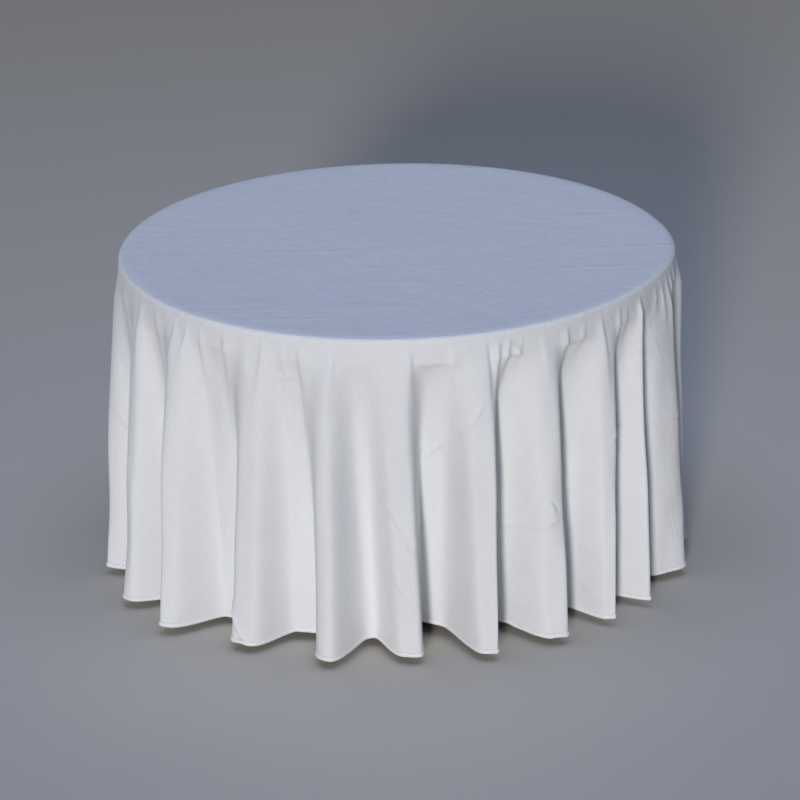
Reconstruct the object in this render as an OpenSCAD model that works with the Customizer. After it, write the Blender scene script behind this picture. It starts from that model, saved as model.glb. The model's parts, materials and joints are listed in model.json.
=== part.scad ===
// Round folding table with two folding leg frames, under a pleated floor-length cloth.
// Millimetres. +Z is up. The origin is on the floor, below the centre of the table.
// The wide leg frame is on the +X side and the narrow one on the -X side, so that they
// nest side by side when both are folded up under the top.

/* [Table top] */
// Diameter of the table, over its edge moulding
top_d = 1250; // [1210:10:1290]
// Height of the table's surface above the floor
top_h = 740; // [720:5:760]
// Thickness of the plywood core
core_t = 24; // [20:1:26]
// Thickness of the laminate on top of the core
laminate_t = 1; // [0.8:0.1:1.5]
// Height of the edge moulding, which hangs below the core as an apron
edge_h = 50; // [44:1:56]
// Radial thickness of the edge moulding, and the radius of its corners
edge_w = 8; // [6:1:9]

/* [Cloth] */
// Thickness of the solid that stands for the cloth
cloth_t = 2; // [1.5:0.5:3]
// Number of hanging folds all round
fold_count = 24; // [20:2:28]
// Depth of a fold at the hem, from valley to peak
fold_depth = 84; // [40:2:96]
// Angle of the first fold's peak, from +X
fold_phase = 2; // [0:1:10]
// Height of the hem above the floor
hem_z = 20; // [10:2:40]
// Height of the rolled hem
hem_h = 8; // [6:1:12]

/* [Runners] */
// Length of each wooden runner
runner_len = 960; // [900:10:980]
// Distance of each runner's centre line from the middle of the table
runner_y = 290; // [286:2:300]
// Width and depth of a runner's section
runner_w = 24; // [18:1:24]
runner_h = 30; // [24:1:34]

/* [Leg frames] */
// Outer radius of the leg tube
tube_r = 14; // [12:0.5:14]
// Wall of the leg tube
tube_wall = 1.5; // [1:0.1:2]
// Bend radius at the frame's shoulders, to the tube's centre line
bend_r = 45; // [36:1:60]
// Distance of the pivots from the middle of the table
pivot_x = 400; // [380:5:420]
// Half the width of the wide leg frame
wide_half = 250; // [246:1:254]
// Half the width of the narrow leg frame
narrow_half = 210; // [200:1:214]
// Depth of the wide frame's pivot below the core
wide_depth = 26; // [25:1:28]
// Depth of the narrow frame's pivot below the core
narrow_depth = 20; // [19:1:21]
// Outward splay of the open legs
splay = 4; // [2:0.5:5]
// Distance of the stretcher from the pivot, along the leg
stretcher_at = 250; // [240:5:260]
// Radius of the round stretcher bar
stretcher_r = 8; // [7:0.5:8]
// Outer radius of a rubber foot cap
cap_r = 17; // [16:0.5:17]
// Height of a foot cap
cap_h = 34; // [26:1:40]

/* [Braces] */
// Distance of the brace bracket's pivot inward from the leg's pivot
bracket_at = 310; // [300:5:320]
// Width of a brace link
link_w = 20; // [16:1:22]
// Thickness of a brace link
link_t = 3; // [2.5:0.5:3]
// Shank radius of the rivets
rivet_r = 4; // [3:0.5:4]

/* [Hidden] */

$fn = 48;
round_fn = 96;
eps = 0.5;

// Heights in the table top
top_r = top_d / 2;
laminate_z = top_h - laminate_t;
core_z = laminate_z - core_t;
edge_in_r = top_r - edge_w;
core_r = edge_in_r - 0.1;
barb_len = 10;
barb_t = 3;
barb_z = core_z + core_t / 2;

// The cloth's inner and outer faces
side_gap = 1.2;
top_gap = 1;
cloth_in_z = top_h + top_gap;
cloth_out_z = cloth_in_z + cloth_t;
cloth_in_r = top_r + side_gap;
bend_in_r = edge_w;
bend_out_r = bend_in_r + cloth_t;
bend_mid_r = cloth_in_r - bend_in_r;
bend_mid_z = cloth_in_z - bend_in_r;
flat_r = bend_mid_r - 18;
disc_r = flat_r + 4;
fold_steps = 10;
turns = fold_count * fold_steps;
skirt_rings = 6;
skirt_low_z = hem_z + hem_h;

// Pivots, stretcher and braces
wide_z = core_z - wide_depth;
narrow_z = core_z - narrow_depth;
stretcher_off = tube_r + stretcher_r - 1;
knee_fold = bracket_at - stretcher_at;
brace_dx = bracket_at + stretcher_at * sin(splay);
brace_dz = stretcher_at * cos(splay);
brace_len = sqrt(brace_dx * brace_dx + brace_dz * brace_dz);
brace_drop = atan2(brace_dz, brace_dx);
upper_len = (brace_len + knee_fold) / 2;
lower_len = (brace_len - knee_fold) / 2;
upper_y = 2.5;
lower_y = -0.5 - link_t;
link_end_r = 12;
hole_r = rivet_r + 0.1;
ear_t = 3;
ear_gap = 0.5;
plate_t = 2.5;
tab_t = 3;
tab_y = lower_y - ear_gap - tab_t;

// Pivot blocks and screws
block_y = 150;
block_w = 30;
block_wall = 4;
bore_r = tube_r + 0.1;
block_r = bore_r + block_wall;
flange_t = 3;
flange_len = 22;
screw_r = 2;
screw_head_r = 4.5;
screw_head_h = 2.5;
screw_hole_r = 2.2;

// ---- The cloth ----

// How far the folds have opened, from 0 at the rim to 1 at the hem
function fold_open(z) = pow(max(0, (bend_mid_z - z) / (bend_mid_z - hem_z)), 0.75);

// How far a fold stands out at an angle, from 0 in a valley to 1 on a peak
function fold_out(a) = 0.5 + 0.5 * cos(fold_count * (a - fold_phase));

// Radius of the cloth's inner face at an angle and a height below the rim
function skirt_r(a, z) = cloth_in_r + fold_depth * fold_open(z) * fold_out(a);

// Height of one ring of the skirt, closer together near the rim
function ring_z(i) = bend_mid_z + (skirt_low_z - bend_mid_z) * pow(i / skirt_rings, 1.3);

// One point at a radius, an angle and a height
function polar(r, a, z) = [r * cos(a), r * sin(a), z];

// The cloth's section at one angle: out along the top face, down the outside and back up inside
function cloth_section(a) = concat(
  [polar(flat_r, a, cloth_out_z)],
  [for (b = [90, 45, 0]) polar(bend_mid_r + bend_out_r * cos(b), a, bend_mid_z + bend_out_r * sin(b))],
  [for (i = [1:skirt_rings]) polar(skirt_r(a, ring_z(i)) + cloth_t, a, ring_z(i))],
  [for (i = [skirt_rings:-1:1]) polar(skirt_r(a, ring_z(i)), a, ring_z(i))],
  [for (b = [0, 45, 90]) polar(bend_mid_r + bend_in_r * cos(b), a, bend_mid_z + bend_in_r * sin(b))],
  [polar(flat_r, a, cloth_in_z)]
);

// The hem's section at one angle, a little thicker than the cloth on each face
function hem_section(a) = [
  polar(skirt_r(a, skirt_low_z) + cloth_t + 0.5, a, skirt_low_z),
  polar(skirt_r(a, hem_z) + cloth_t + 0.5, a, hem_z),
  polar(skirt_r(a, hem_z) - 0.5, a, hem_z),
  polar(skirt_r(a, skirt_low_z) - 0.5, a, skirt_low_z)
];

// Triangles that join n sections of m points each into a closed ring
function ring_faces(n, m) = [
  for (i = [0:n - 1], j = [0:m - 1], half = [0, 1])
    let (i2 = (i + 1) % n, j2 = (j + 1) % m)
      half == 0
        ? [i * m + j, i2 * m + j, i2 * m + j2]
        : [i * m + j, i2 * m + j2, i * m + j2]
];

module tablecloth() {
  sections = [for (i = [0:turns - 1]) each cloth_section(360 * i / turns)];
  color("white")
    union() {
      polyhedron(points = sections, faces = ring_faces(turns, len(cloth_section(0))), convexity = 10);
      translate([0, 0, cloth_in_z])
        cylinder(r = disc_r, h = cloth_t, $fn = round_fn);
    }
}

module cloth_hem() {
  sections = [for (i = [0:turns - 1]) each hem_section(360 * i / turns)];
  color("white")
    polyhedron(points = sections, faces = ring_faces(turns, 4), convexity = 10);
}

// ---- The table top ----

module top_core() {
  color("burlywood")
    difference() {
      translate([0, 0, core_z])
        cylinder(r = core_r, h = core_t, $fn = round_fn);
      translate([0, 0, barb_z - barb_t / 2 - 0.5])
        difference() {
          cylinder(r = core_r + eps, h = barb_t + 1, $fn = round_fn);
          cylinder(r = core_r - barb_len - 1, h = barb_t + 1, $fn = round_fn);
        }
    }
}

module top_laminate() {
  color("gainsboro")
    translate([0, 0, laminate_z])
      cylinder(r = core_r, h = laminate_t, $fn = round_fn);
}

// A vinyl ring with rounded corners, and a barb that goes into the core's groove
module edge_moulding() {
  color("dimgray")
    rotate_extrude($fn = round_fn)
      union() {
        intersection() {
          translate([edge_in_r, top_h - edge_h])
            square([edge_w, edge_h]);
          union() {
            translate([edge_in_r, top_h - edge_w])
              circle(r = edge_w);
            translate([edge_in_r, top_h - edge_h + edge_w])
              circle(r = edge_w);
            translate([edge_in_r, top_h - edge_h + edge_w])
              square([edge_w, edge_h - 2 * edge_w]);
          }
        }
        translate([edge_in_r - barb_len, barb_z - barb_t / 2])
          square([barb_len + 1, barb_t]);
      }
}

// Places along a runner where a screw goes up into the core
function runner_screw_x() = [for (k = [-1.5:1:1.5]) k * runner_len * 0.3];

module runner(y) {
  color("tan")
    difference() {
      translate([-runner_len / 2, y - runner_w / 2, core_z - runner_h])
        cube([runner_len, runner_w, runner_h]);
      for (x = runner_screw_x())
        translate([x, y, core_z - runner_h - eps]) {
          cylinder(r = screw_hole_r, h = runner_h + 2 * eps);
          cylinder(r = screw_head_r + 0.5, h = 8 + eps);
        }
    }
}

module runner_front() { runner(-runner_y); }

module runner_back() { runner(runner_y); }

// A screw that points up, with the underside of its head at z = 0
module screw(len) {
  color("silver")
    union() {
      cylinder(r = screw_r, h = len);
      translate([0, 0, -screw_head_h])
        cylinder(r = screw_head_r, h = screw_head_h);
    }
}

module runner_screws() {
  for (side = [-1, 1], x = runner_screw_x())
    translate([x, side * runner_y, core_z - runner_h + 8])
      screw(runner_h + 8);
}

module stack_bumpers() {
  bumper_at = 540;
  color("black")
    for (a = [45:90:315])
      rotate([0, 0, a])
        translate([bumper_at, 0, core_z - 12])
          cylinder(r = 12, h = 12);
}

// ---- The pivot blocks ----

// A block with a bore along Y at z = 0, and flanges that lie against the core at z = depth
module pivot_block(depth) {
  color("dimgray")
    difference() {
      union() {
        rotate([90, 0, 0])
          cylinder(r = block_r, h = block_w, center = true);
        translate([-block_r, -block_w / 2, 0])
          cube([2 * block_r, block_w, depth]);
        translate([-block_r - flange_len, -block_w / 2, depth - flange_t])
          cube([2 * (block_r + flange_len), block_w, flange_t]);
      }
      rotate([90, 0, 0])
        cylinder(r = bore_r, h = block_w + 2 * eps, center = true);
      for (side = [-1, 1])
        translate([side * (block_r + flange_len / 2), 0, depth - flange_t - eps])
          cylinder(r = screw_hole_r, h = flange_t + 2 * eps);
    }
}

// Turns the children half way round for the narrow side
module on_side(wide) {
  rotate([0, 0, wide ? 0 : 180])
    children();
}

module pivot_block_at(wide, front) {
  depth = wide ? wide_depth : narrow_depth;
  translate([wide ? pivot_x : -pivot_x, front ? -block_y : block_y, core_z - depth])
    pivot_block(depth);
}

module pivot_block_wide_front() { pivot_block_at(true, true); }

module pivot_block_wide_back() { pivot_block_at(true, false); }

module pivot_block_narrow_front() { pivot_block_at(false, true); }

module pivot_block_narrow_back() { pivot_block_at(false, false); }

module pivot_block_screws() {
  for (x = [-pivot_x, pivot_x], y = [-block_y, block_y], side = [-1, 1])
    translate([x + side * (block_r + flange_len / 2), y, core_z - flange_t])
      screw(20);
}

// ---- The leg frames ----

// One frame's bent tube about its pivot, legs down, as a solid of the given radius
module frame_path(half, leg_len, r, over) {
  rotate([90, 0, 0])
    cylinder(r = r, h = 2 * (half - bend_r), center = true);
  for (side = [-1, 1])
    scale([1, side, 1]) {
      translate([0, half - bend_r, -bend_r])
        rotate([90, 0, 90])
          rotate_extrude(angle = 90, $fn = round_fn)
            translate([bend_r, 0])
              circle(r = r);
      translate([0, half, -leg_len - over])
        cylinder(r = r, h = leg_len + over - bend_r);
    }
}

// Length of a leg from its pivot down to the tube's end, inside the cap
function leg_len(z) = z / cos(splay) - 8;

// A bent tube with a stretcher welded to its outer face and a tab for the brace
module leg_frame(half, z) {
  color("lightgray")
    rotate([0, -splay, 0])
      difference() {
        union() {
          difference() {
            frame_path(half, leg_len(z), tube_r, 0);
            frame_path(half, leg_len(z), tube_r - tube_wall, eps);
          }
          translate([stretcher_off, 0, -stretcher_at])
            rotate([90, 0, 0])
              cylinder(r = stretcher_r, h = 2 * (half + 6), center = true);
          translate([0, tab_y, -stretcher_at - link_end_r])
            cube([stretcher_off, tab_t, 2 * link_end_r]);
          translate([0, tab_y + tab_t, -stretcher_at])
            rotate([90, 0, 0])
              cylinder(r = link_end_r, h = tab_t);
        }
        translate([0, tab_y + tab_t + eps, -stretcher_at])
          rotate([90, 0, 0])
            cylinder(r = hole_r, h = tab_t + 2 * eps);
      }
}

module leg_frame_wide() {
  translate([pivot_x, 0, wide_z])
    leg_frame(wide_half, wide_z);
}

module leg_frame_narrow() {
  on_side(false)
    translate([pivot_x, 0, narrow_z])
      leg_frame(narrow_half, narrow_z);
}

// A rubber cap over the end of a leg, with its sole cut level with the floor
module foot_cap(half, z, side) {
  color("black")
    difference() {
      translate([pivot_x, 0, z])
        rotate([0, -splay, 0])
          translate([0, side * half, -leg_len(z)])
            difference() {
              translate([0, 0, -12])
                cylinder(r = cap_r, h = cap_h + 12);
              cylinder(r = tube_r + 0.05, h = cap_h + eps);
            }
      translate([pivot_x - 60, side * half - 60, -40])
        cube([220, 120, 40]);
    }
}

module foot_cap_wide_front() { foot_cap(wide_half, wide_z, -1); }

module foot_cap_wide_back() { foot_cap(wide_half, wide_z, 1); }

module foot_cap_narrow_front() { on_side(false) foot_cap(narrow_half, narrow_z, 1); }

module foot_cap_narrow_back() { on_side(false) foot_cap(narrow_half, narrow_z, -1); }

// ---- The braces ----

// A rivet along Y, from y0 to y1, with a head at either end if asked
module rivet(y0, y1, head0, head1) {
  head_r = 7;
  head_t = 1.8;
  color("silver")
    union() {
      translate([0, y1, 0])
        rotate([90, 0, 0])
          cylinder(r = rivet_r, h = y1 - y0);
      if (head0)
        translate([0, y0, 0])
          rotate([90, 0, 0])
            cylinder(r = head_r, h = head_t);
      if (head1)
        translate([0, y1 + head_t, 0])
          rotate([90, 0, 0])
            cylinder(r = head_r, h = head_t);
    }
}

// A flat link along +X from the origin, with a hole at each end
module link(len, y) {
  color("lightgray")
    difference() {
      union() {
        translate([0, y, -link_w / 2])
          cube([len, link_t, link_w]);
        for (x = [0, len])
          translate([x, y + link_t, 0])
            rotate([90, 0, 0])
              cylinder(r = link_end_r, h = link_t);
      }
      for (x = [0, len])
        translate([x, y + link_t + eps, 0])
          rotate([90, 0, 0])
            cylinder(r = hole_r, h = link_t + 2 * eps);
    }
}

// Places the children at the bracket's pivot, with +X down along the open brace
module at_bracket(z) {
  translate([pivot_x - bracket_at, 0, z])
    rotate([0, brace_drop, 0])
      children();
}

module brace_upper(z) { at_bracket(z) link(upper_len, upper_y); }

module brace_lower(z) { at_bracket(z) translate([upper_len, 0, 0]) link(lower_len, lower_y); }

module knee_pin_upper(z) {
  at_bracket(z)
    translate([upper_len, 0, 0])
      rivet(1.1, upper_y + link_t + 0.3, false, true);
}

module knee_pin_lower(z) {
  at_bracket(z)
    translate([upper_len, 0, 0])
      rivet(lower_y - 0.3, 0.7, true, false);
}

module tab_rivet(z) {
  at_bracket(z)
    translate([brace_len, 0, 0])
      rivet(tab_y, lower_y + link_t + 0.2, true, true);
}

module brace_upper_wide() { brace_upper(wide_z); }

module brace_upper_narrow() { on_side(false) brace_upper(narrow_z); }

module brace_lower_wide() { brace_lower(wide_z); }

module brace_lower_narrow() { on_side(false) brace_lower(narrow_z); }

module knee_pin_upper_wide() { knee_pin_upper(wide_z); }

module knee_pin_upper_narrow() { on_side(false) knee_pin_upper(narrow_z); }

module knee_pin_lower_wide() { knee_pin_lower(wide_z); }

module knee_pin_lower_narrow() { on_side(false) knee_pin_lower(narrow_z); }

module tab_rivet_wide() { tab_rivet(wide_z); }

module tab_rivet_narrow() { on_side(false) tab_rivet(narrow_z); }

ear_low_y = upper_y - ear_gap - ear_t;
ear_high_y = upper_y + link_t + ear_gap;
bracket_mid_y = upper_y + link_t / 2;
bracket_screw_y = 17;

// A folded plate with two ears, screwed under the core, that holds the upper link
module brace_bracket(depth) {
  color("lightgray")
    difference() {
      union() {
        translate([-20, bracket_mid_y - 24, depth - plate_t])
          cube([40, 48, plate_t]);
        for (y = [ear_low_y, ear_high_y]) {
          translate([-link_end_r, y, 0])
            cube([2 * link_end_r, ear_t, depth - plate_t + 0.5]);
          translate([0, y + ear_t, 0])
            rotate([90, 0, 0])
              cylinder(r = link_end_r, h = ear_t);
        }
      }
      translate([0, ear_high_y + ear_t + eps, 0])
        rotate([90, 0, 0])
          cylinder(r = hole_r, h = ear_high_y - ear_low_y + ear_t + 2 * eps);
      for (side = [-1, 1])
        translate([0, bracket_mid_y + side * bracket_screw_y, depth - plate_t - eps])
          cylinder(r = screw_hole_r, h = plate_t + 2 * eps);
    }
}

module brace_bracket_wide() {
  translate([pivot_x - bracket_at, 0, wide_z])
    brace_bracket(wide_depth);
}

module brace_bracket_narrow() {
  on_side(false)
    translate([pivot_x - bracket_at, 0, narrow_z])
      brace_bracket(narrow_depth);
}

module bracket_screws() {
  for (wide = [true, false], side = [-1, 1])
    on_side(wide)
      translate([pivot_x - bracket_at, bracket_mid_y + side * bracket_screw_y, core_z - plate_t])
        screw(20);
}

module bracket_rivet(z) {
  translate([pivot_x - bracket_at, 0, z])
    rivet(ear_low_y, ear_high_y + ear_t, true, true);
}

module bracket_rivet_wide() { bracket_rivet(wide_z); }

module bracket_rivet_narrow() { on_side(false) bracket_rivet(narrow_z); }

tablecloth();
cloth_hem();
top_core();
top_laminate();
edge_moulding();
runner_front();
runner_back();
runner_screws();
stack_bumpers();
pivot_block_wide_front();
pivot_block_wide_back();
pivot_block_narrow_front();
pivot_block_narrow_back();
pivot_block_screws();
leg_frame_wide();
leg_frame_narrow();
foot_cap_wide_front();
foot_cap_wide_back();
foot_cap_narrow_front();
foot_cap_narrow_back();
brace_bracket_wide();
brace_bracket_narrow();
bracket_screws();
bracket_rivet_wide();
bracket_rivet_narrow();
brace_upper_wide();
brace_upper_narrow();
brace_lower_wide();
brace_lower_narrow();
knee_pin_upper_wide();
knee_pin_upper_narrow();
knee_pin_lower_wide();
knee_pin_lower_narrow();
tab_rivet_wide();
tab_rivet_narrow();
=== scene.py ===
import json
import math

import bpy
import numpy as np
from mathutils import Matrix, Vector


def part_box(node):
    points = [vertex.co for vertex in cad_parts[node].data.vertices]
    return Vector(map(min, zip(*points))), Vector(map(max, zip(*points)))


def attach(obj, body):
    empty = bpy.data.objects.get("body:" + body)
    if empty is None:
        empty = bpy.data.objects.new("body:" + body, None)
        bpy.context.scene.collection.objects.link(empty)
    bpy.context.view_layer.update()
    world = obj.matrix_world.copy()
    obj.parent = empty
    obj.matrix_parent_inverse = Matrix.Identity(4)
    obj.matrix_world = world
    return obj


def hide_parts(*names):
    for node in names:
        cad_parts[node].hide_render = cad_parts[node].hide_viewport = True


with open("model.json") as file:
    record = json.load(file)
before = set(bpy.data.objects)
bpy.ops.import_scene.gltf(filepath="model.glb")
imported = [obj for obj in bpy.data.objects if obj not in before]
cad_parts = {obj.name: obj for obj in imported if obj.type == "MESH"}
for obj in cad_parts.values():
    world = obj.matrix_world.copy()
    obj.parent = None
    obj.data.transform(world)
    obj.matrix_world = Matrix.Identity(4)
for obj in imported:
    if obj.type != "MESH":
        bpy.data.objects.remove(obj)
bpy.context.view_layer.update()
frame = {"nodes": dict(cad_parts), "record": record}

scene = bpy.context.scene
scene.view_settings.view_transform = "Standard"
scene.view_settings.look = "None"

# ---------------------------------------------------------------------------
# Sizes, in metres. Angles round the table are in degrees from the front (-Y)
# towards the right (+X). Depths are down the cloth from its bend at the table's edge.
# ---------------------------------------------------------------------------
TABLE_LOW, TABLE_HIGH = [Vector(p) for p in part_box("edge_moulding")]
# Height of the cloth's face above the table, and its distance out from the edge
TOP_GAP = 0.0016
RIM_GAP = 0.0014
TOP_Z = TABLE_HIGH.z + TOP_GAP
RIM_R = TABLE_HIGH.x + RIM_GAP
# How round the cloth is bent over the edge, and how far it hangs down from there
BEND_R = 0.0095
DROP = 0.714
# Height of the table's edge
EDGE_H = TABLE_HIGH.z - TABLE_LOW.z
# Points of the cloth: round the table, down the skirt, across the top and over the bend
COLUMNS = 1152
SKIRT_ROWS = 118
TOP_ROWS = 26
BEND_ROWS = 4
# Spacing of the weave's threads, and length of one overlock stitch along the hem
THREAD_SPACING = 0.0011
STITCH = 0.0064

# Lines down the front half of the skirt that its folds turn at, from the left end to the
# right. A fold's crest runs between two lines with a large radius, and the hollow between
# folds between two with a small one. Each has its angle at the rim, its angle at the hem,
# its radius at the hem, and how quickly it gets there (a smaller power is quicker).
FRONT_LINES = [
    (-96.0, -85.0, 0.590, 0.80),
    (-90.5, -81.5, 0.585, 0.80),
    (-86.0, -78.0, 0.691, 0.70),
    (-83.0, -76.2, 0.674, 0.70),
    (-77.5, -73.0, 0.585, 0.80),
    (-70.5, -67.0, 0.585, 0.80),
    (-64.5, -62.8, 0.704, 0.75),
    (-61.5, -60.4, 0.693, 0.75),
    (-58.8, -57.2, 0.585, 0.62),
    (-55.0, -51.5, 0.575, 0.62),
    (-49.5, -48.6, 0.716, 0.70),
    (-46.5, -46.3, 0.700, 0.70),
    (-42.0, -42.8, 0.588, 0.48),
    (-35.2, -37.0, 0.568, 0.46),
    (-30.0, -33.8, 0.666, 0.70),
    (-27.0, -29.5, 0.667, 0.70),
    (-23.0, -24.8, 0.571, 0.45),
    (-19.4, -18.5, 0.564, 0.46),
    (-14.9, -16.0, 0.668, 0.65),
    (-12.6, -13.0, 0.681, 0.65),
    (-9.5, -8.2, 0.567, 0.42),
    (-7.0, -6.0, 0.557, 0.50),
    (-3.0, -0.3, 0.648, 0.75),
    (1.2, 3.7, 0.655, 0.55),
    (5.2, 4.6, 0.500, 0.46),
    (9.6, 10.2, 0.525, 0.43),
    (13.0, 14.9, 0.661, 0.75),
    (18.6, 18.0, 0.672, 0.55),
    (21.4, 18.4, 0.505, 0.48),
    (24.4, 24.6, 0.553, 0.43),
    (27.8, 29.0, 0.654, 0.75),
    (32.2, 33.0, 0.670, 0.65),
    (35.7, 34.2, 0.510, 0.46),
    (40.6, 41.4, 0.561, 0.42),
    (43.6, 43.0, 0.660, 0.75),
    (47.8, 44.6, 0.672, 0.65),
    (51.8, 45.6, 0.550, 0.46),
    (55.0, 52.6, 0.573, 0.44),
    (57.8, 55.3, 0.696, 0.65),
    (59.0, 55.8, 0.560, 0.44),
    (61.4, 60.4, 0.560, 0.42),
    (65.8, 66.3, 0.640, 0.75),
    (73.0, 72.3, 0.686, 0.70),
    (77.5, 76.0, 0.575, 0.55),
    (82.0, 81.0, 0.575, 0.55),
    (85.5, 84.0, 0.669, 0.42),
    (89.0, 87.0, 0.669, 0.42),
]
# The folds behind, which the photo doesn't show, and how far past the front's last line
# they start, as a share of a fold
BACK_FOLDS = 11
BACK_LEAD = 0.3
# The last of them stands out less by this much, to stay behind the skirt's left outline
LAST_BACK_LESS = 0.032
# Share of the drop that softens the cloth's turn in under the table's edge
SOFT_START = 0.020
# Where the points round the table start
SEAM = -96.0


def smooth(x):
    """A soft step from 0 to 1 as x goes from 0 to 1."""
    x = np.clip(x, 0.0, 1.0)
    return x * x * (3.0 - 2.0 * x)


def fold_lines():
    """The lines all round the table, with the columns of FRONT_LINES."""
    rng = np.random.default_rng(11)
    lines = [list(line) for line in FRONT_LINES]
    last = lines[-1]
    step = (lines[0][0] + 360.0 - last[0]) / (BACK_FOLDS + BACK_LEAD)
    drift = np.linspace(last[1] - last[0], lines[0][1] - lines[0][0], BACK_FOLDS + 1)
    for k in range(BACK_FOLDS):
        start = last[0] + (k + BACK_LEAD) * step
        crest = rng.uniform(0.672, 0.706) - (LAST_BACK_LESS if k == BACK_FOLDS - 1 else 0.0)
        hollow = rng.uniform(0.552, 0.585)
        lean = rng.uniform(-0.6, 0.6)
        for place, radius in ((0.0, hollow), (0.21, hollow), (0.5, crest), (0.72, crest)):
            rim = start + (place + rng.uniform(-0.03, 0.03)) * step
            hem = start + (place + rng.uniform(-0.05, 0.05)) * step + lean + drift[k]
            lines.append([rim, hem, radius + rng.uniform(-0.008, 0.008), rng.uniform(0.65, 0.85)])
    return np.array(lines)


def curve_through(x, y, at):
    """Values at the places at of a smooth curve through points that never overshoots them."""
    h = np.diff(x)
    slope = np.diff(y) / h
    before, after = slope[:-1], slope[1:]
    w1 = 2 * h[1:] + h[:-1]
    w2 = h[1:] + 2 * h[:-1]
    same = before * after > 0
    safe_before = np.where(same, before, 1.0)
    safe_after = np.where(same, after, 1.0)
    ends = np.zeros_like(y)
    ends[1:-1] = np.where(same, (w1 + w2) / (w1 / safe_before + w2 / safe_after), 0.0)
    k = np.clip(np.searchsorted(x, at, side="right") - 1, 0, len(h) - 1)
    t = (at - x[k]) / h[k]
    return (
        y[k] * (1 + 2 * t) * (1 - t) ** 2 + y[k + 1] * t * t * (3 - 2 * t)
        + ends[k] * h[k] * t * (1 - t) ** 2 + ends[k + 1] * h[k] * t * t * (t - 1)
    )


def blur(row, columns):
    """A row of values round the table, averaged with its neighbours over a few columns."""
    reach = int(4 * columns) + 1
    away = np.arange(-reach, reach + 1)
    weight = np.exp(-0.5 * (away / columns) ** 2)
    weight /= weight.sum()
    longer = np.concatenate([row[-reach:], row, row[:reach]])
    return np.convolve(longer, weight, mode="valid")


# Puckers that run down from the rim, steeper on one side: angle, height in metres (negative
# for a groove), half-width in degrees (negative where the left side is the steep one), how
# far it leans on the way down, in degrees, and depth where it has gone.
PUCKERS = [
    (-74.0, 0.0035, -3.0, 2.0, 0.34),
    (-62.5, 0.0034, -3.0, 0.5, 0.30),
    (-56.0, 0.0034, -3.2, 0.4, 0.28),
    (-49.0, 0.0030, -1.8, -1.0, 0.15),
    (-45.5, 0.0028, -1.6, -1.2, 0.14),
    (-42.0, 0.0032, -2.6, 1.4, 0.24),
    (-35.5, 0.0045, -3.4, 0.5, 0.32),
    (-30.5, 0.0020, 2.4, 1.0, 0.14),
    (-26.5, 0.0040, -2.8, -0.6, 0.24),
    (-22.3, 0.0030, 1.2, -0.4, 0.13),
    (-19.0, 0.0055, -3.0, 1.4, 0.40),
    (-12.0, 0.0040, 2.6, -2.4, 0.24),
    (-5.0, 0.0020, 3.0, 0.5, 0.16),
    (2.2, 0.0055, 3.2, 1.0, 0.36),
    (10.5, 0.0035, -2.6, 1.2, 0.20),
    (18.0, -0.0045, -1.4, 1.0, 0.20),
    (20.2, 0.0060, 1.8, -0.8, 0.36),
    (22.6, 0.0050, 1.6, -1.6, 0.17),
    (25.4, 0.0026, 1.3, -2.0, 0.10),
    (29.5, 0.0022, -2.6, 1.0, 0.18),
    (35.5, 0.0060, 2.8, -0.4, 0.32),
    (40.5, 0.0025, 1.6, -2.5, 0.12),
    (44.5, 0.0045, 2.2, 1.5, 0.24),
    (50.5, 0.0055, 2.2, 0.6, 0.28),
    (53.0, 0.0022, 2.4, 0.5, 0.18),
    (58.0, 0.0080, 1.7, -1.2, 0.36),
    (65.0, 0.0040, 1.4, 0.6, 0.10),
    (68.2, 0.0050, 1.4, 1.0, 0.15),
    (71.5, 0.0045, 1.3, 1.0, 0.20),
    (75.0, 0.0050, 1.4, 0.6, 0.17),
    (79.0, 0.0045, 1.8, 0.5, 0.26),
]
# Sharp creases left in the cloth: angle and depth of both ends, height, bow in degrees
CREASES = [
    (-11.8, 0.278, -7.6, 0.331, 0.0030, 0.3),
    (-4.0, 0.350, 1.0, 0.440, 0.0030, -0.5),
    (16.5, 0.133, 4.4, 0.312, 0.0035, -1.3),
    (20.0, 0.480, 29.5, 0.445, 0.0035, 0.5),
    (30.8, 0.425, 29.0, 0.392, 0.0030, 0.4),
    (29.2, 0.450, 31.6, 0.437, 0.0030, 0.0),
    (1.2, 0.444, 2.3, 0.473, 0.0030, 0.0),
    (2.3, 0.473, 3.8, 0.430, 0.0030, 0.1),
    (-1.8, 0.520, 1.5, 0.580, 0.0024, 0.3),
    (-46.2, 0.632, -43.0, 0.690, 0.0020, 0.2),
    (-45.6, 0.618, -43.4, 0.660, 0.0015, 0.1),
    (-46.6, 0.655, -44.6, 0.672, 0.0015, 0.0),
    (-34.4, 0.615, -30.6, 0.712, 0.0050, 0.9),
    (-22.8, 0.070, -22.0, 0.088, 0.0030, 0.0),
    (-23.6, 0.100, -21.0, 0.085, 0.0026, 0.2),
    (-22.5, 0.090, -22.8, 0.225, 0.0022, 0.3),
    (-10.4, 0.042, -4.5, 0.040, 0.0009, 0.0),
    (2.9, 0.042, 9.2, 0.045, 0.0010, 0.0),
    (21.0, 0.016, 24.8, 0.052, 0.0024, -0.6),
    (22.0, 0.048, 26.5, 0.046, 0.0012, 0.2),
    (34.7, 0.052, 41.0, 0.034, 0.0012, 0.8),
    (62.0, 0.318, 77.0, 0.350, 0.0024, 0.4),
    (-79.0, 0.330, -73.0, 0.440, 0.0020, 0.3),
    (-59.0, 0.240, -53.0, 0.215, 0.0018, 0.2),
    (45.0, 0.300, 49.5, 0.260, 0.0020, 0.2),
]


# How soon on the way down a line turns from its angle at the rim to its angle at the hem
TURN_POWER = 0.9
# How far crests and hollows stand out where the skirt begins
CREST_START = 0.0015
HOLLOW_START = 0.0004
# Depths over which a crest's start and its own reach come in
CREST_START_DEPTH = 0.02
CREST_REACH_DEPTH = 0.09
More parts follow.
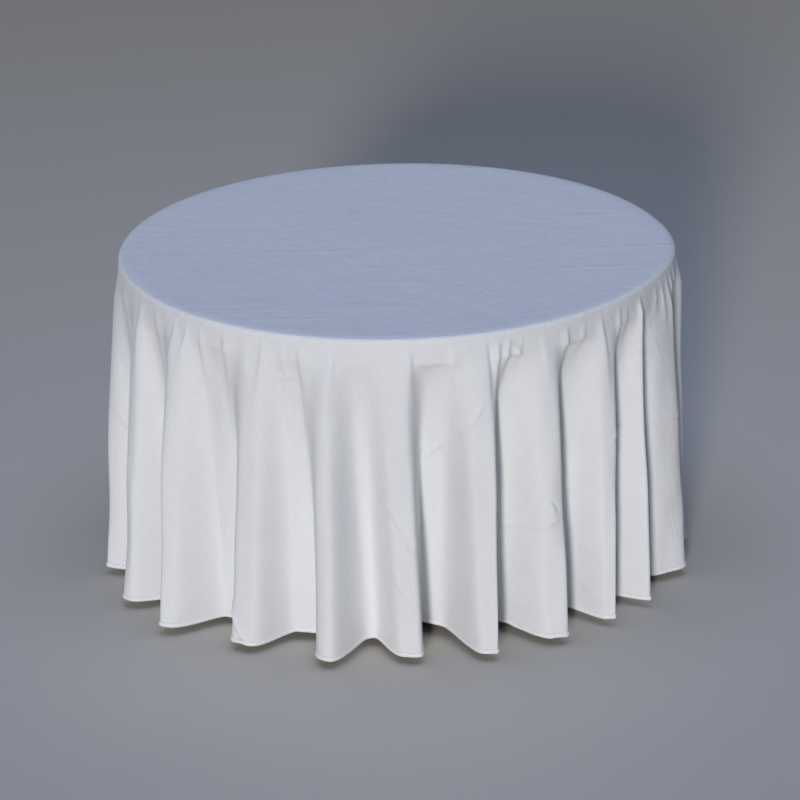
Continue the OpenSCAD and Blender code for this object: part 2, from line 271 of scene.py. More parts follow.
# How far round the table the folds are evened out, in degrees, at the rim and half-way down
EVEN_AT_RIM = 1.3
EVEN_BELOW = 0.45
# A pucker's width at the rim and how much it widens, as shares of its half-width, and its
# steep side's width as a share of the other side's
PUCKER_NARROW = 0.42
PUCKER_WIDEN = 0.68
PUCKER_STEEP = 0.42
# Random puckers round the back: how many, and the angles that they are spread over
BACK_PUCKERS = 34
BACK_PUCKERS_START = 92.0
BACK_PUCKERS_SPAN = 170.0
# Slow waves of the hanging cloth, and the size that the smaller ones are scaled from
SLOW_WAVES = 26
SLOW_WAVE_SIZE = 0.011
# Metres along the skirt for one degree round the table, at the creases
CREASE_ARC = math.radians(1.0) * 0.66
# Width of a crease, and the width, distance and share of its height of the dip beside it
CREASE_WIDTH = 0.0045
DIP_WIDTH = 0.006
DIP_AWAY = 0.008
DIP_SHARE = 0.55
# Where the pleats at the right are crowded, in degrees, how far round they reach, and how
# far they hold the cloth out from the edge
SWELL_ANGLE = 88.0
SWELL_WIDTH = 20.0
SWELL = 0.012
# How far in the cloth may tuck under the table's edge at once, how hard it is pressed
# against the edge above that, and the depth below the edge where it comes free
TUCK_LIMIT = 0.012
EDGE_PRESS = 0.0002
EDGE_RELEASE = 0.006
# Least drop of the cloth for its length, and how much of the hem's unevenness is taken out
LEAST_FALL = 0.55
HEM_LEVELLING = 0.35


def hanging_folds(depth, material):
    """Angle and radius of every skirt point in its plain folds."""
    lines = fold_lines()
    whole_turn = (360.0, 360.0, 0.0, 0.0)
    order = np.concatenate([lines[-3:] - whole_turn, lines, lines[:3] + whole_turn])
    at_rim, at_hem, radius_at_hem, power = order.T
    crest = radius_at_hem > RIM_R
    reach = radius_at_hem - RIM_R
    angle = np.empty((len(depth), COLUMNS))
    radius = np.empty_like(angle)
    for j, d in enumerate(depth):
        share = d / DROP
        turn = (at_hem - at_rim) * share ** TURN_POWER
        below = max(0.0, (d - EDGE_H) / (DROP - EDGE_H))
        out = CREST_START * smooth(d / CREST_START_DEPTH)
        out = out + reach * share ** power * smooth(d / CREST_REACH_DEPTH)
        fall = (below + SOFT_START) ** power - SOFT_START ** power
        whole_fall = (1.0 + SOFT_START) ** power - SOFT_START ** power
        hollow = HOLLOW_START + reach * fall / whole_fall
        offset = np.where(crest, out, hollow)
        even = EVEN_AT_RIM - (EVEN_AT_RIM - EVEN_BELOW) * smooth(share / 0.5)
        columns = even * COLUMNS / 360.0
        angle[j] = material + blur(curve_through(at_rim, turn, material), columns)
        radius[j] = RIM_R + blur(curve_through(at_rim, offset, material), columns)
    return angle, radius


def pucker_heights(depth, material, rng):
    """How far the puckers stand out, in front where the photo has them and random behind."""
    puckers = list(PUCKERS)
    for k in range(BACK_PUCKERS):
        place = (k + rng.uniform(-0.35, 0.35)) / BACK_PUCKERS
        puckers.append((
            BACK_PUCKERS_START + BACK_PUCKERS_SPAN * place,
            rng.uniform(0.003, 0.006),
            rng.choice([-1.0, 1.0]) * rng.uniform(1.4, 3.0),
            rng.uniform(-1.5, 1.5),
            rng.uniform(0.12, 0.36),
        ))
    bump = np.zeros((len(depth), COLUMNS))
    rise_in = smooth((depth - 0.002) / 0.045)
    for centre, high, wide, lean, gone in puckers:
        path = centre + lean * (depth / gone)[:, None]
        off = ((material[None, :] - path + 180.0) % 360.0 - 180.0) * math.copysign(1.0, wide)
        gentle = abs(wide) * (PUCKER_NARROW + PUCKER_WIDEN * smooth(depth / gone))[:, None]
        steep = PUCKER_STEEP * gentle
        ridge = np.exp(-((off / np.where(off < 0, gentle, steep)) ** 2))
        fade = 1.0 - smooth((depth - 0.3 * gone) / (0.7 * gone))
        bump += high * ridge * (rise_in * fade)[:, None]
    return bump


def slow_wave_heights(depth, material, rng):
    """Slow unevenness of the hanging cloth, which grows on the way down."""
    share = depth[:, None] / DROP
    grown = smooth((share - 0.08) / 0.5)
    bump = np.zeros((len(depth), COLUMNS))
    for _ in range(SLOW_WAVES):
        count = rng.integers(9, 75)
        phase, phase_z = rng.uniform(0, 2 * np.pi, 2)
        waves = rng.uniform(0.3, 2.4)
        size = SLOW_WAVE_SIZE / (6.0 + count) ** 0.72 * rng.uniform(0.5, 1.2)
        bend = 1.1 * np.sin(2 * np.pi * share * waves + phase_z)
        bump += size * np.sin(np.radians(material)[None, :] * count + phase + bend) * grown
    return bump


def crease_heights(depth, angle):
    """How far the sharp creases stand out, each with a shallow dip beside it."""
    bump = np.zeros_like(angle)
    for from_angle, from_depth, to_angle, to_depth, high, bow in CREASES:
        start = np.array([from_angle * CREASE_ARC, from_depth])
        run = np.array([to_angle * CREASE_ARC, to_depth]) - start
        length = np.hypot(*run)
        run /= length
        px = angle * CREASE_ARC - start[0]
        py = depth[:, None] - start[1]
        t = (px * run[0] + py * run[1]) / length
        side = -px * run[1] + py * run[0] - bow * CREASE_ARC * 4 * t * (1 - t)
        ends = smooth(t / 0.15) * smooth((1.0 - t) / 0.15)
        ridge = np.exp(-((side / CREASE_WIDTH) ** 2))
        dip = np.exp(-(((side - DIP_AWAY) / DIP_WIDTH) ** 2))
        bump += high * ends * (ridge - DIP_SHARE * dip)
    return bump


def skirt_points():
    """Angle in radians and radius of every skirt point, a row for each of the depths."""
    rng = np.random.default_rng(5)
    depth = DROP * (np.arange(SKIRT_ROWS + 1) / SKIRT_ROWS) ** 1.12
    material = SEAM + 360.0 * np.arange(COLUMNS) / COLUMNS
    angle, radius = hanging_folds(depth, material)
    radius += pucker_heights(depth, material, rng)
    radius += slow_wave_heights(depth, material, rng)
    radius += crease_heights(depth, angle)
    radius += rim_swell(material)[None, :] * (1.0 - smooth(depth / 0.3))[:, None]
    # The cloth never goes through the table's edge
    hug = 1.0 - smooth((depth - EDGE_H) / EDGE_RELEASE)
    least = RIM_R - TUCK_LIMIT + (TUCK_LIMIT - EDGE_PRESS) * hug
    beside_edge = depth <= EDGE_H + EDGE_RELEASE
    radius = np.where(beside_edge[:, None], np.maximum(radius, least[:, None]), radius)
    return np.radians(angle), radius, depth


def rim_swell(degrees):
    """How far the cloth stands out from the edge where its pleats are crowded together."""
    return SWELL * np.exp(-(((degrees - SWELL_ANGLE) / SWELL_WIDTH) ** 2))


def polar_row(radius, angle, height):
    """Points round the table, from their radius, their angle in radians and their height."""
    return np.stack([radius * np.sin(angle), -radius * np.cos(angle), height], axis=-1)


def cloth_vertices():
    """Rows of the cloth's points from the top's middle to the hem, and how far out each
    of them is on the flat cloth."""
    angle, radius, depth = skirt_points()
    z = np.empty_like(radius)
    z[0] = TOP_Z - BEND_R
    for j in range(1, len(depth)):
        step = depth[j] - depth[j - 1]
        across = radius[j] - radius[j - 1]
        fall_squared = np.maximum(step * step - across * across, (LEAST_FALL * step) ** 2)
        z[j] = z[j - 1] - np.sqrt(fall_squared)
    # Even out the height of the hem, as real cloth does
    mean_hem = z[-1].mean()
    z += (mean_hem - z[-1])[None, :] * HEM_LEVELLING * (depth / DROP)[:, None] ** 2

    material = np.radians(SEAM + 360.0 * np.arange(COLUMNS) / COLUMNS)
    rows = []
    flats = []
    flat_r = RIM_R - BEND_R
    for k in range(1, TOP_ROWS + 1):
        r = flat_r * (k / TOP_ROWS) ** 0.9
        rows.append(polar_row(r, material, TOP_Z + top_wave(r, material)))
        flats.append(np.full(COLUMNS, r))
    swell = rim_swell(np.degrees(material))
    for k in range(1, BEND_ROWS):
        a = math.pi / 2 * k / BEND_ROWS
        height = np.full(COLUMNS, TOP_Z - BEND_R + BEND_R * math.cos(a))
        rows.append(polar_row(flat_r + (BEND_R + swell) * math.sin(a), material, height))
        flats.append(np.full(COLUMNS, flat_r + BEND_R * a))
    for j, d in enumerate(depth):
        rows.append(polar_row(radius[j], angle[j], z[j]))
        flats.append(np.full(COLUMNS, flat_r + BEND_R * math.pi / 2 + d))
    return np.array(rows), np.array(flats), material


def top_wave(r, material):
    """Very slight unevenness of the cloth where it lies on the table, and one long fold line."""
    x, y = r * np.sin(material), -r * np.cos(material)
    inside = smooth((RIM_R - 0.02 - r) / 0.08)
    wave = 0.00025 * np.sin(9.0 * x + 3.0 * y + 1.0) + 0.0002 * np.sin(-5.0 * x + 13.0 * y)
    across = np.exp(-(((x * 0.5 - y * 0.86 - 0.03) / 0.004) ** 2))
    along = np.exp(-(((x * 0.86 + y * 0.5 + 0.08) / 0.05) ** 2))
    return inside * (wave - 0.0004 + 0.0008 * across * along)


def mesh_object(name, verts, quads, uvs=None, tris=()):
    """A smooth-shaded object with these faces, and the UV of each point if given."""
    mesh = bpy.data.meshes.new(name)
    mesh.from_pydata(verts.tolist(), [], [list(f) for f in quads] + [list(f) for f in tris])
    if uvs is not None:
        layer = mesh.uv_layers.new(name="flat")
        index = np.empty(len(mesh.loops), dtype=np.int64)
        mesh.loops.foreach_get("vertex_index", index)
        layer.data.foreach_set("uv", uvs[index].astype(np.float32).ravel())
    mesh.update()
    mesh.polygons.foreach_set("use_smooth", np.ones(len(mesh.polygons), dtype=bool))
    obj = bpy.data.objects.new(name, mesh)
    scene.collection.objects.link(obj)
    return obj


def ring_quads(rows, columns, closed_rows=False):
    """Faces between rows of points whose columns close on themselves, and the rows too if asked."""
    i = np.arange(rows if closed_rows else rows - 1)[:, None]
    j = np.arange(columns)[None, :]
    i2 = (i + 1) % rows
    j2 = (j + 1) % columns
    corners = [i * columns + j, i2 * columns + j, i2 * columns + j2, i * columns + j2]
    return np.stack(corners, axis=-1).reshape(-1, 4)


def make_cloth():
    """The cloth as one sheet from the middle of the top to the hem, with its flat place as UV."""
    rows, flats, material = cloth_vertices()
    centre = np.array([[0.0, 0.0, TOP_Z - 0.0003]])
    verts = np.vstack([centre, rows.reshape(-1, 3)])
    flat_xy = np.stack([flats * np.sin(material), -flats * np.cos(material)], axis=-1)
    uvs = np.vstack([[[0.0, 0.0]], flat_xy.reshape(-1, 2)])
    quads = ring_quads(len(rows), COLUMNS) + 1
    j = np.arange(COLUMNS)
    fan = np.stack([np.zeros_like(j), 1 + j, 1 + (j + 1) % COLUMNS], axis=-1)
    cloth = mesh_object("draped_cloth", verts, quads.tolist(), uvs, fan.tolist())
    return cloth, rows


def catmull(points, parts):
    """Points of a closed smooth curve through the given ones, at parts times as many places."""
    p0 = np.roll(points, 1, axis=0)
    p1 = points
    p2 = np.roll(points, -1, axis=0)
    p3 = np.roll(points, -2, axis=0)
    out = []
    for k in range(parts):
        t = k / parts
        out.append(0.5 * (
            2 * p1 + (p2 - p0) * t + (2 * p0 - 5 * p1 + 4 * p2 - p3) * t * t
            + (3 * p1 - p0 - 3 * p2 + p3) * t ** 3
        ))
    return np.stack(out, axis=1).reshape(-1, points.shape[1])


def unit(v):
    """The same directions with a length of one."""
    return v / np.maximum(np.linalg.norm(v, axis=-1, keepdims=True), 1e-12)


# The hem: points along it for each of the cloth's columns, and points round it
HEM_PARTS = 9
HEM_SIDES = 8
# Half its height and half its thickness, and how much a thread adds to each
HEM_TALL, THREAD_TALL = 0.0050, 0.0005
HEM_THICK, THREAD_THICK = 0.0014, 0.0010
# How far its middle lies above the cloth's edge
HEM_RAISE = 0.0012
# How far the thread slants on its way round the hem, as a share of a stitch
STITCH_SLANT = 0.30


def make_hem(rows):
    """The rolled edge with its overlock thread, which wraps over it in slanting turns."""
    edge = catmull(rows[-1], HEM_PARTS)
    above = catmull(rows[-3], HEM_PARTS)
    along = unit(np.roll(edge, -1, axis=0) - np.roll(edge, 1, axis=0))
    up = unit(above - edge)
    out = unit(np.cross(up, along))
    count = len(edge)
    turn = 2 * np.pi * np.arange(HEM_SIDES) / HEM_SIDES
    steps = np.linalg.norm(np.diff(edge, axis=0), axis=1)
    length = np.concatenate([[0.0], np.cumsum(steps)])
    stitch = (length[:, None] / STITCH + STITCH_SLANT * np.cos(turn)[None, :]) % 1.0
    thread = 0.5 - 0.5 * np.cos(2 * np.pi * stitch)
    offset_up = HEM_RAISE + (HEM_TALL + THREAD_TALL * thread) * np.cos(turn)[None, :]
    offset_out = (HEM_THICK + THREAD_THICK * thread) * np.sin(turn)[None, :]
    verts = (
        edge[:, None, :]
        + up[:, None, :] * offset_up[..., None]
        + out[:, None, :] * offset_out[..., None]
    )
    quads = ring_quads(count, HEM_SIDES, closed_rows=True)
    uvs = np.stack([
        np.repeat(length, HEM_SIDES),
        np.tile(STITCH_SLANT * STITCH * np.cos(turn), count),
    ], axis=-1)
    return mesh_object("overlocked_hem", verts.reshape(-1, 3), quads.tolist(), uvs)


# ---------------------------------------------------------------------------
# Materials
# ---------------------------------------------------------------------------
class Nodes:
    """A material with a Principled shader, and short calls that add nodes to it."""

    def __init__(self, name, rough=0.6, metal=0.0, **values):
        self.mat = bpy.data.materials.new(name)
        self.mat.use_nodes = True
        self.tree = self.mat.node_tree
        self.bsdf = self.tree.nodes["Principled BSDF"]
        self.bsdf.inputs["Roughness"].default_value = rough
        self.bsdf.inputs["Metallic"].default_value = metal
        for key, value in values.items():
            self.bsdf.inputs[key.replace("_", " ")].default_value = value

    def add(self, kind, **props):
        """A new node of this kind with these settings."""
        node = self.tree.nodes.new(kind)
        for key, value in props.items():
            setattr(node, key, value)
        return node

    def link(self, a, b):
        self.tree.links.new(a, b)

    def coords(self, kind="Object", scale=(1, 1, 1), turn=(0, 0, 0)):
        """The object's or the flat cloth's coordinates, stretched and turned."""
        tex = self.add("ShaderNodeTexCoord")
        mapping = self.add("ShaderNodeMapping")
        mapping.inputs["Scale"].default_value = scale
        mapping.inputs["Rotation"].default_value = turn
        self.link(tex.outputs[kind], mapping.inputs["Vector"])
        return mapping.outputs["Vector"]

    def noise(self, vector, scale, detail=4.0, rough=0.55, warp=0.0):
        node = self.add("ShaderNodeTexNoise")
        node.inputs["Scale"].default_value = scale
        node.inputs["Detail"].default_value = detail
        node.inputs["Roughness"].default_value = rough
        node.inputs["Distortion"].default_value = warp
        self.link(vector, node.inputs["Vector"])
        return node.outputs["Fac"]

    def wave(self, vector, scale, direction="X", warp=0.0, detail=2.0, detail_scale=1.0):
        node = self.add("ShaderNodeTexWave", bands_direction=direction, wave_profile="SIN")
        node.inputs["Scale"].default_value = scale
        node.inputs["Distortion"].default_value = warp
        node.inputs["Detail"].default_value = detail
        node.inputs["Detail Scale"].default_value = detail_scale
        self.link(vector, node.inputs["Vector"])
        return node.outputs["Fac"]

    def ramp(self, value, stops):
        """A colour for each value, from stops of a place and a colour."""
        node = self.add("ShaderNodeValToRGB")
        elements = node.color_ramp.elements
        while len(elements) < len(stops):
            elements.new(0.5)
        for element, (place, colour) in zip(elements, stops):
            element.position = place
            element.color = (*colour, 1.0)
        self.link(value, node.inputs["Fac"])
        return node.outputs["Color"]

    def spread(self, value, low, high, from_low=0.0, from_high=1.0):
        """The value stretched from one range to another, held at its ends."""
        node = self.add("ShaderNodeMapRange")
        node.inputs["From Min"].default_value = from_low
        node.inputs["From Max"].default_value = from_high
        node.inputs["To Min"].default_value = low
        node.inputs["To Max"].default_value = high
        self.link(value, node.inputs["Value"])
        return node.outputs["Result"]

    def math(self, operation, a, b=None):
        """A sum on one or two sockets or numbers."""
        node = self.add("ShaderNodeMath", operation=operation)
        for socket, value in zip(node.inputs, (a, b)):
            if value is None:
                continue
            if isinstance(value, (int, float)):
                socket.default_value = value
            else:
                self.link(value, socket)
        return node.outputs["Value"]

    def mix(self, factor, a, b):
        """Colour a turning into colour b as the factor rises from 0 to 1."""
        node = self.add("ShaderNodeMix", data_type="RGBA", blend_type="MIX")
        for socket, value in ((node.inputs[0], factor), (node.inputs[6], a), (node.inputs[7], b)):
            if isinstance(value, (int, float)):
                socket.default_value = value
            elif isinstance(value, tuple):
                socket.default_value = (*value, 1.0)
            else:
                self.link(value, socket)
        return node.outputs[2]

    def bump(self, height, distance, strength=1.0, normal=None):
        """A surface that seems to rise by the distance where the height is 1."""
        node = self.add("ShaderNodeBump")
        node.inputs["Distance"].default_value = distance
        node.inputs["Strength"].default_value = strength
        self.link(height, node.inputs["Height"])
        if normal is not None:
            self.link(normal, node.inputs["Normal"])
        return node.outputs["Normal"]

    def colour(self, value):
        self.link(value, self.bsdf.inputs["Base Color"])

    def rough(self, value):
        self.link(value, self.bsdf.inputs["Roughness"])

    def normal(self, value):
        self.link(value, self.bsdf.inputs["Normal"])


def weave(m, vector, spacing):
    """Height of a plain weave: warp and weft threads that pass over and under each other."""
    split = m.add("ShaderNodeSeparateXYZ")
    m.link(vector, split.inputs["Vector"])
    per_thread = math.pi / spacing
    x = m.math("SINE", m.math("MULTIPLY", split.outputs["X"], per_thread))
    y = m.math("SINE", m.math("MULTIPLY", split.outputs["Y"], per_thread))
    over = m.math("MULTIPLY", x, y)
    warp = m.math("MULTIPLY", m.math("ABSOLUTE", x), m.spread(over, 0.4, 1.0, -1.0, 1.0))
    weft = m.math("MULTIPLY", m.math("ABSOLUTE", y), m.spread(over, 1.0, 0.4, -1.0, 1.0))
    return m.math("MAXIMUM", warp, weft)


def cloth_material():
    """Woven polyester: threads with painted shade in the gaps between them, thicker threads here and
    there, streaks and crumples.
    """
    m = Nodes("white polyester", rough=0.78, Sheen_Weight=0.12, Sheen_Roughness=0.5)
    m.bsdf.inputs["Specular IOR Level"].default_value = 0.25
    flat = m.coords("UV")
    threads = weave(m, flat, THREAD_SPACING)
    slubs_down = m.noise(m.coords("UV", scale=(1200, 26, 1)), 1.0, 2.0)
    slubs_over = m.noise(m.coords("UV", scale=(26, 1200, 1)), 1.0, 2.0)
    slubs = m.math("ADD", m.math("MULTIPLY", slubs_down, 0.5), m.math("MULTIPLY", slubs_over, 0.5))
    streak_down = m.noise(m.coords("UV", scale=(330, 15, 1)), 1.0, 3.0, 0.6)
    streak_over = m.noise(m.coords("UV", scale=(15, 330, 1)), 1.0, 3.0, 0.6)
    streaks = m.math("ADD", m.math("MULTIPLY", streak_down, 0.5), m.math("MULTIPLY", streak_over, 0.5))
    slanting = m.coords("UV", scale=(2.2, 17.0, 1), turn=(0, 0, 0.55))
    creased = m.spread(m.noise(slanting, 1.0, 3.0, 0.5, 0.8), 0.0, 1.0, 0.56, 0.74)
    patches = m.noise(flat, 3.2, 5.0)
    tone = m.ramp(patches, [(0.25, (0.775, 0.785, 0.800)), (0.75, (0.830, 0.835, 0.845))])
    tone = m.mix(m.spread(slubs, 0.0, 0.35, 0.35, 0.7), tone, (0.745, 0.75, 0.765))
    tone = m.mix(m.spread(streaks, 0.0, 0.5, 0.45, 0.68), tone, (0.70, 0.705, 0.72))
    # Painted shade: the cloth is darker in the gaps between the threads, where the weave dips.
    tone = m.mix(m.spread(threads, 0.25, 0.0), tone, (0.66, 0.67, 0.69))
    m.colour(tone)
    m.rough(m.spread(patches, 0.72, 0.84))
    crumple = m.noise(flat, 16.0, 5.0, 0.6, 0.6)
    fine = m.noise(flat, 75.0, 4.0, 0.6)
    surface = m.bump(crumple, 0.0040, 0.60)
    surface = m.bump(fine, 0.0006, 0.45, surface)
    surface = m.bump(creased, 0.0016, 0.35, surface)
    surface = m.bump(streaks, 0.0007, 0.45, surface)
    surface = m.bump(slubs, 0.0002, 0.35, surface)
    m.normal(m.bump(threads, 0.00012, 0.6, surface))
    return m.mat


def hem_material():
    """Bright thread, with painted shade in the gaps between the stitches and in the grooves of its
    twist.
    """
    m = Nodes("overlock thread", rough=0.62, Sheen_Weight=0.1)
    flat = m.coords("UV")
    twist = m.wave(m.coords("UV", scale=(1, 3, 1), turn=(0, 0, 0.6)), 420.0, "DIAGONAL")
    fuzz = m.noise(flat, 900.0, 3.0)
    split = m.add("ShaderNodeSeparateXYZ")
    m.link(flat, split.inputs["Vector"])
    slanted = m.math("ADD", split.outputs["X"], split.outputs["Y"])
    around = m.math("MULTIPLY", slanted, 2 * math.pi / STITCH)
    # Painted shade: the thread is darker in the gaps between the stitches.
    between = m.spread(m.math("COSINE", around), 0.0, 0.42, 0.1, 0.9)
    # Painted shade: the thread is darker in the grooves of its twist, where the twist's bump is low.
    shade = m.ramp(twist, [(0.0, (0.90, 0.905, 0.91)), (1.0, (0.97, 0.97, 0.975))])
    shade = m.mix(between, shade, (0.56, 0.575, 0.60))
    m.colour(m.mix(m.spread(fuzz, 0.0, 0.3), shade, (0.78, 0.79, 0.80)))
    m.normal(m.bump(fuzz, 0.0002, 0.5, m.bump(twist, 0.0003, 0.6)))
    return m.mat


def plywood_material():
    m = Nodes("birch plywood", rough=0.55)
    grain = m.noise(m.coords(scale=(3.0, 60.0, 60.0)), 1.0, 6.0, 0.6, 1.2)
    cathedral = m.wave(m.coords(scale=(0.5, 5.0, 5.0)), 1.6, "Y", 6.0, 3.0, 1.4)
    pale = m.ramp(grain, [(0.3, (0.50, 0.35, 0.20)), (0.7, (0.68, 0.52, 0.33))])
    pale = m.mix(m.spread(cathedral, 0.0, 0.4), pale, (0.45, 0.30, 0.17))
    plies = m.wave(m.coords(), 88.0, "Z", 0.3)
    m.colour(m.mix(m.spread(plies, 0.0, 0.22), pale, (0.36, 0.24, 0.13)))
    m.rough(m.spread(grain, 0.48, 0.66))
    m.normal(m.bump(grain, 0.0006, 0.4))
    return m.mat


def hardwood_material():
    m = Nodes("planed hardwood", rough=0.5)
    grain = m.noise(m.coords(scale=(4.0, 90.0, 90.0)), 1.0, 6.0, 0.62, 0.8)
    rings = m.wave(m.coords(scale=(0.8, 30.0, 30.0)), 1.0, "Y", 4.0, 3.0)
    base = m.ramp(grain, [(0.3, (0.40, 0.25, 0.12)), (0.72, (0.60, 0.42, 0.24))])
    m.colour(m.mix(m.spread(rings, 0.0, 0.35), base, (0.34, 0.20, 0.10)))
    m.rough(m.spread(grain, 0.42, 0.6))
    m.normal(m.bump(grain, 0.0007, 0.5))
    return m.mat


def laminate_material():
    m = Nodes("grey laminate", rough=0.42)
    fleck = m.noise(m.coords(), 420.0, 2.0)
    cloudy = m.noise(m.coords(), 7.0, 4.0)
    base = m.ramp(cloudy, [(0.3, (0.57, 0.56, 0.53)), (0.7, (0.64, 0.63, 0.60))])
    m.colour(m.mix(m.spread(fleck, 0.0, 0.5, 0.5, 0.8), base, (0.42, 0.41, 0.39)))
    m.rough(m.spread(fleck, 0.36, 0.5))
    m.normal(m.bump(fleck, 0.0002, 0.3))
    return m.mat


def vinyl_material():
    m = Nodes("vinyl edge", rough=0.5)
    grain = m.noise(m.coords(), 700.0, 3.0)
    scuffs = m.noise(m.coords(scale=(1.0, 1.0, 7.0)), 38.0, 6.0, 0.7, 1.5)
    m.colour(m.ramp(scuffs, [(0.45, (0.045, 0.045, 0.05)), (0.8, (0.12, 0.12, 0.125))]))
    m.rough(m.spread(scuffs, 0.38, 0.7))
    m.normal(m.bump(grain, 0.0003, 0.45))
    return m.mat


def steel_material(name, base, rough):
    """Plated steel with a spangle, brush marks and some grime."""
    m = Nodes(name, rough=rough, metal=1.0)
    spangle = m.add("ShaderNodeTexVoronoi")
    spangle.inputs["Scale"].default_value = 180.0
    m.link(m.coords(), spangle.inputs["Vector"])
    brushed = m.noise(m.coords(scale=(1.0, 1.0, 12.0)), 220.0, 3.0)
    light = tuple(min(1.0, c * 1.12) for c in base)
    dark = tuple(c * 0.82 for c in base)
    shade = m.ramp(spangle.outputs["Distance"], [(0.0, dark), (0.6, light)])
    grime = m.noise(m.coords(), 24.0, 5.0, 0.65)
    m.colour(m.mix(m.spread(grime, 0.0, 0.5, 0.55, 0.85), shade, (0.28, 0.25, 0.21)))
    m.rough(m.spread(brushed, rough - 0.08, rough + 0.14))
    m.normal(m.bump(brushed, 0.0001, 0.4))
    return m.mat


def paint_material():
    m = Nodes("powder coat", rough=0.45)
    peel = m.noise(m.coords(), 520.0, 3.0)
    wear = m.noise(m.coords(), 34.0, 7.0, 0.72)
    chips = m.spread(wear, 0.0, 1.0, 0.70, 0.74)
    m.colour(m.mix(chips, (0.075, 0.077, 0.082), (0.34, 0.33, 0.32)))
    m.rough(m.spread(peel, 0.36, 0.54))
    m.normal(m.bump(peel, 0.0003, 0.35))
    return m.mat


def rubber_material():
    m = Nodes("black rubber", rough=0.8)
    grain = m.noise(m.coords(), 300.0, 4.0)
    dust = m.noise(m.coords(), 28.0, 6.0, 0.7)
    m.colour(m.ramp(dust, [(0.4, (0.018, 0.018, 0.019)), (0.85, (0.085, 0.08, 0.075))]))
    m.rough(m.spread(dust, 0.7, 0.92))
    m.normal(m.bump(grain, 0.0004, 0.5))
    return m.mat


def nylon_material():
    m = Nodes("moulded nylon", rough=0.5)
    grain = m.noise(m.coords(), 480.0, 3.0)
    flow = m.noise(m.coords(scale=(1, 4, 1)), 30.0, 4.0)
    m.colour(m.ramp(flow, [(0.3, (0.028, 0.028, 0.031)), (0.8, (0.055, 0.055, 0.06))]))
    m.rough(m.spread(flow, 0.42, 0.6))
    m.normal(m.bump(grain, 0.0003, 0.4))
    return m.mat


def floor_material():
    m = Nodes("plain floor", rough=0.85)
    m.bsdf.inputs["Base Color"].default_value = (0.64, 0.605, 0.54, 1.0)
    m.bsdf.inputs["Specular IOR Level"].default_value = 0.1
    return m.mat


def dress_cad_nodes():
    """Gives every CAD node that shows its material."""
    finishes = {
        "plywood": plywood_material(),
        "laminate": laminate_material(),
        "vinyl": vinyl_material(),
        "hardwood": hardwood_material(),
        "screw_steel": steel_material("zinc screw", (0.62, 0.58, 0.48), 0.34),
        "rubber": rubber_material(),
        "nylon": nylon_material(),
        "painted_tube": paint_material(),
        "zinc_steel": steel_material("zinc plate", (0.58, 0.58, 0.57), 0.38),
        "rivet_steel": steel_material("bright rivet", (0.66, 0.66, 0.66), 0.28),
    }
    for row in frame["record"]["subparts"]:
        if row["material_slot"] not in finishes:
            continue
        obj = frame["nodes"][row["node"]]
        obj.data.materials.clear()
        obj.data.materials.append(finishes[row["material_slot"]])


# ---------------------------------------------------------------------------
# Camera, light and floor
# ---------------------------------------------------------------------------
# Where the photo was taken from, and how the camera was pointed, in degrees
CAMERA_PLACE = Vector((0.0, -6.484, 2.932))
CAMERA_PITCH = 21.65
CAMERA_YAW = 0.055
CAMERA_ROLL = -1.2
CAMERA_LENS = 135.0
SENSOR_WIDTH = 36.0


def direction(azimuth, elevation):
    """The way from the table to a place at this angle round it and this height, in degrees."""
    a, e = math.radians(azimuth), math.radians(elevation)
    return Vector((math.sin(a) * math.cos(e), -math.cos(a) * math.cos(e), math.sin(e)))


def make_camera():
    data = bpy.data.cameras.new("camera")
    data.sensor_width = SENSOR_WIDTH
    data.lens = CAMERA_LENS
    data.clip_end = 100.0
    cam = bpy.data.objects.new("camera", data)
    scene.collection.objects.link(cam)
    roll = math.radians(CAMERA_ROLL)
    forward = -direction(-CAMERA_YAW, CAMERA_PITCH)
    level = forward.cross(Vector((0, 0, 1))).normalized()
    upright = level.cross(forward)
    right = level * math.cos(roll) + upright * math.sin(roll)
    up = upright * math.cos(roll) - level * math.sin(roll)
    cam.matrix_world = Matrix((
        (right.x, up.x, -forward.x, CAMERA_PLACE.x),
        (right.y, up.y, -forward.y, CAMERA_PLACE.y),
        (right.z, up.z, -forward.z, CAMERA_PLACE.z),
        (0, 0, 0, 1),
    ))
    scene.camera = cam


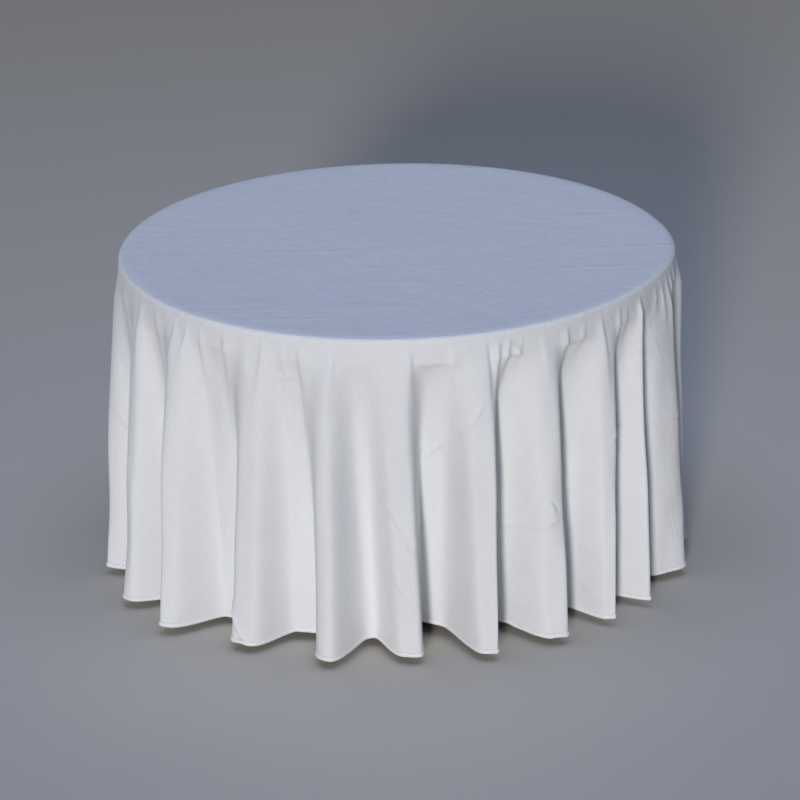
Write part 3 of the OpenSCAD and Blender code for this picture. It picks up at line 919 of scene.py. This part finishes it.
def place_lamp(data, place, target):
    """Puts this light in the scene at the place, pointing at the target."""
    lamp = bpy.data.objects.new(data.name, data)
    scene.collection.objects.link(lamp)
    lamp.location = place
    lamp.rotation_euler = (target - place).to_track_quat("-Z", "Y").to_euler()


def area_light(name, azimuth, elevation, distance, size, power, colour):
    """A round lamp that shines on the middle of the object from this distance."""
    data = bpy.data.lights.new(name, "AREA")
    data.shape = "DISK"
    data.size = size
    data.energy = power
    data.color = colour
    target = Vector((0.0, 0.0, 0.4))
    place_lamp(data, target + distance * direction(azimuth, elevation), target)


def far_light(name, azimuth, elevation, width, strength, colour):
    """A lamp far enough away for its light to arrive all one way, as wide as the given angle."""
    data = bpy.data.lights.new(name, "SUN")
    data.angle = math.radians(width)
    data.energy = strength
    data.color = colour
    place_lamp(data, 9.0 * direction(azimuth, elevation), Vector((0.0, 0.0, 0.0)))


def make_lights():
    far_light("key", azimuth=-9.0, elevation=10.5, width=7.0, strength=2.12,
              colour=(1.0, 0.985, 0.97))
    for name, side in (("back_left", -1.0), ("back_right", 1.0)):
        far_light(name, azimuth=side * 138.0, elevation=14.0, width=35.0, strength=0.24,
                  colour=(0.86, 0.92, 1.0))
    area_light("overhead", azimuth=10.0, elevation=86.0, distance=5.0, size=4.5, power=94.0,
               colour=(0.48, 0.63, 1.0))
    world = bpy.data.worlds.new("room")
    world.use_nodes = True
    back = world.node_tree.nodes["Background"]
    back.inputs["Color"].default_value = (0.60, 0.69, 0.95, 1.0)
    back.inputs["Strength"].default_value = 0.105
    scene.world = world


def make_floor():
    half = 16.0
    low = -0.0005
    verts = np.array([[-half, -half, low], [half, -half, low], [half, half, low], [-half, half, low]])
    floor = mesh_object("floor", verts, [(0, 1, 2, 3)])
    floor.data.materials.append(floor_material())


make_camera()
cloth, cloth_rows = make_cloth()
hem = make_hem(cloth_rows)
cloth.data.materials.append(cloth_material())
hem.data.materials.append(hem_material())
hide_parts("tablecloth")
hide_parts("cloth_hem")
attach(cloth, "cloth")
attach(hem, "cloth")
dress_cad_nodes()
make_lights()
make_floor()
